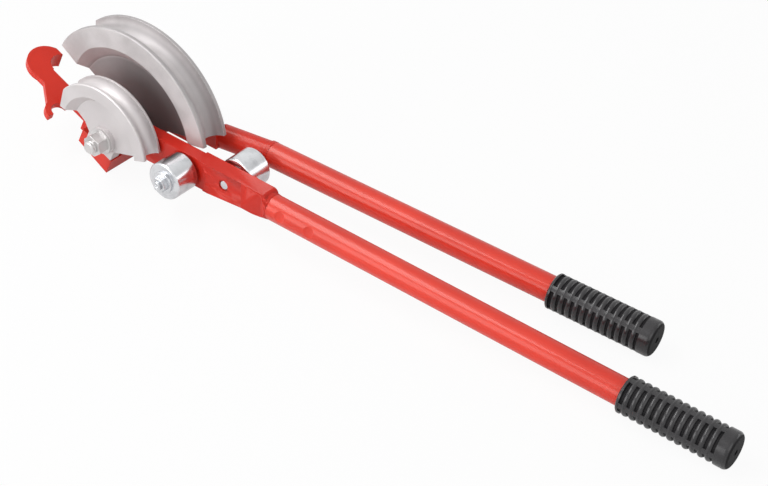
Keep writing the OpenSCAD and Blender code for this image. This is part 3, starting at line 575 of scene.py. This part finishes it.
STUD_TIP = 1.2 * MM
AXLE_TIP = 0.2 * MM
screw_thread("stud_thread", "frame", pivot_zinc, pivot, radius=6.0 * MM, pitch=1.5 * MM,
             start=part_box("pivot_bolt")[0].y + STUD_TIP, end=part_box("pivot_nut")[0].y)
screw_thread("axle_thread", "roller_arm", small_zinc, small_axle, radius=4.0 * MM, pitch=1.0 * MM,
             start=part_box("small_roller_axle")[0].y + AXLE_TIP, end=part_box("small_roller_nut")[0].y)

# %% [markdown]
# ## Floor
# The tool lies on a plain white surface that has no edge in sight. To the camera the floor is mostly
# plain white, which Light Path gives without adding light on the tool. The rest of its look is an
# ordinary white diffuse surface, and that part keeps the soft shadow. Polished metal sees some of the
# plain white too.

# %% Floor
WHITE = (1, 1, 1, 1)
FLOOR_WHITE = (0.80, 0.80, 0.80, 1)
FLOOR_ROUGHNESS = 0.9
FLOOR_REACH = 6.0
FLOOR_GLOW = 0.94
FLOOR_SHEEN = 0.45


def seen_directly(finish):
    rays = finish.node("ShaderNodeLightPath", output="Is Camera Ray")
    through = finish.node("ShaderNodeLightPath", output="Is Transmission Ray")
    return rays.math("MAXIMUM", rays, through)


def seen_in_gloss(finish):
    return finish.node("ShaderNodeLightPath", output="Is Glossy Ray")


floor_mesh = bpy.data.meshes.new("Floor")
floor_shape = bmesh.new()
bmesh.ops.create_grid(floor_shape, x_segments=1, y_segments=1, size=FLOOR_REACH)
floor_shape.to_mesh(floor_mesh)
floor_shape.free()
floor = bpy.data.objects.new("Floor", floor_mesh)
bpy.context.scene.collection.objects.link(floor)

floor_finish = Finish("White floor")
floor_finish.plug(FLOOR_WHITE, floor_finish.shader.inputs["Base Color"])
floor_finish.plug(FLOOR_ROUGHNESS, floor_finish.shader.inputs["Roughness"])
glow = floor_finish.node("ShaderNodeEmission", None, {"Color": WHITE, "Strength": 1.0})
lit = Wire(floor_finish, floor_finish.shader.outputs["BSDF"])
share = seen_directly(floor_finish) * FLOOR_GLOW + seen_in_gloss(floor_finish) * FLOOR_SHEEN
shown = floor_finish.node("ShaderNodeMixShader", None, {0: share, 1: lit, 2: glow})
floor_finish.plug(shown, floor_finish.tree.nodes["Material Output"].inputs["Surface"])
floor_mesh.materials.append(floor_finish.material)
print("floor", 2 * FLOOR_REACH, "m wide, with", len(floor_finish.tree.nodes), "nodes in its finish")

# %% [markdown]
# ## World
# The world is plain white to the camera and lights the tool only weakly. Polished metal sees a
# brighter world towards the front left, as in a studio with one bright wall. Its nodes are built
# with the same words as a finish, so `Sky` only says which node tree and shader they go into.

# %% World
WORLD_LIGHT = 0.38
DARK_SIDE = 0.72
BRIGHT_SIDE = (-0.62, -0.58, 0.53)
WALL_RANGE = (-0.55, 0.45)

world = bpy.data.worlds.new("World")
bpy.context.scene.world = world
world.use_nodes = True


class Sky(Finish):
    """The world's nodes, built with the same words."""

    def __init__(self, made):
        self.material = made
        self.tree = made.node_tree
        self.shader = made.node_tree.nodes["Background"]


sky = Sky(world)
toward = sky.node("ShaderNodeTexCoord", output="Generated")
facing = sky.node("ShaderNodeVectorMath", {"operation": "DOT_PRODUCT"},
                  {0: toward, 1: BRIGHT_SIDE}, output="Value")
studio = DARK_SIDE + (1.0 - DARK_SIDE) * between(sky, facing, *WALL_RANGE)
plain = seen_directly(sky)
gloss = seen_in_gloss(sky) * (1.0 - plain)
light = plain + gloss * studio + (1.0 - plain - gloss) * WORLD_LIGHT
sky.surface({"Color": WHITE, "Strength": light})
bpy.context.scene.view_settings.view_transform = "Standard"

# %% [markdown]
# ## Lamps
# A strip lamp above draws the thin highlight along the handles, and a panel from the front left
# lights the near sides. Two weaker lamps fill the right and catch the far side of the rollers. Area
# lamps give soft shadows, and one loop turns each lamp towards the tool. The table gives each lamp's
# place, its width and height in metres, and its power in watts.

# %% Lamps
LAMPS = {
    "Strip lamp above": ((-0.80, -0.40, 1.50), (1.6, 0.5), 16.0),
    "Panel lamp front left": ((-0.70, -1.45, 0.55), (1.4, 0.9), 11.5),
    "Fill lamp right": ((1.60, -0.60, 0.90), (1.2, 1.2), 4.0),
    "Rim lamp behind": ((1.30, 1.50, 0.60), (1.2, 0.6), 3.0),
}
LAMP_AIM = Vector((0.0, 0.0, 0.04))

for name, (spot, (wide, high), power) in LAMPS.items():
    lamp_data = bpy.data.lights.new(name, "AREA")
    lamp_data.shape = "RECTANGLE"
    lamp_data.size = wide
    lamp_data.size_y = high
    lamp_data.energy = power
    lamp = bpy.data.objects.new(name, lamp_data)
    lamp.location = spot
    lamp.rotation_euler = (LAMP_AIM - Vector(spot)).to_track_quat("-Z", "Y").to_euler()
    bpy.context.scene.collection.objects.link(lamp)
print("lamps", len(LAMPS))
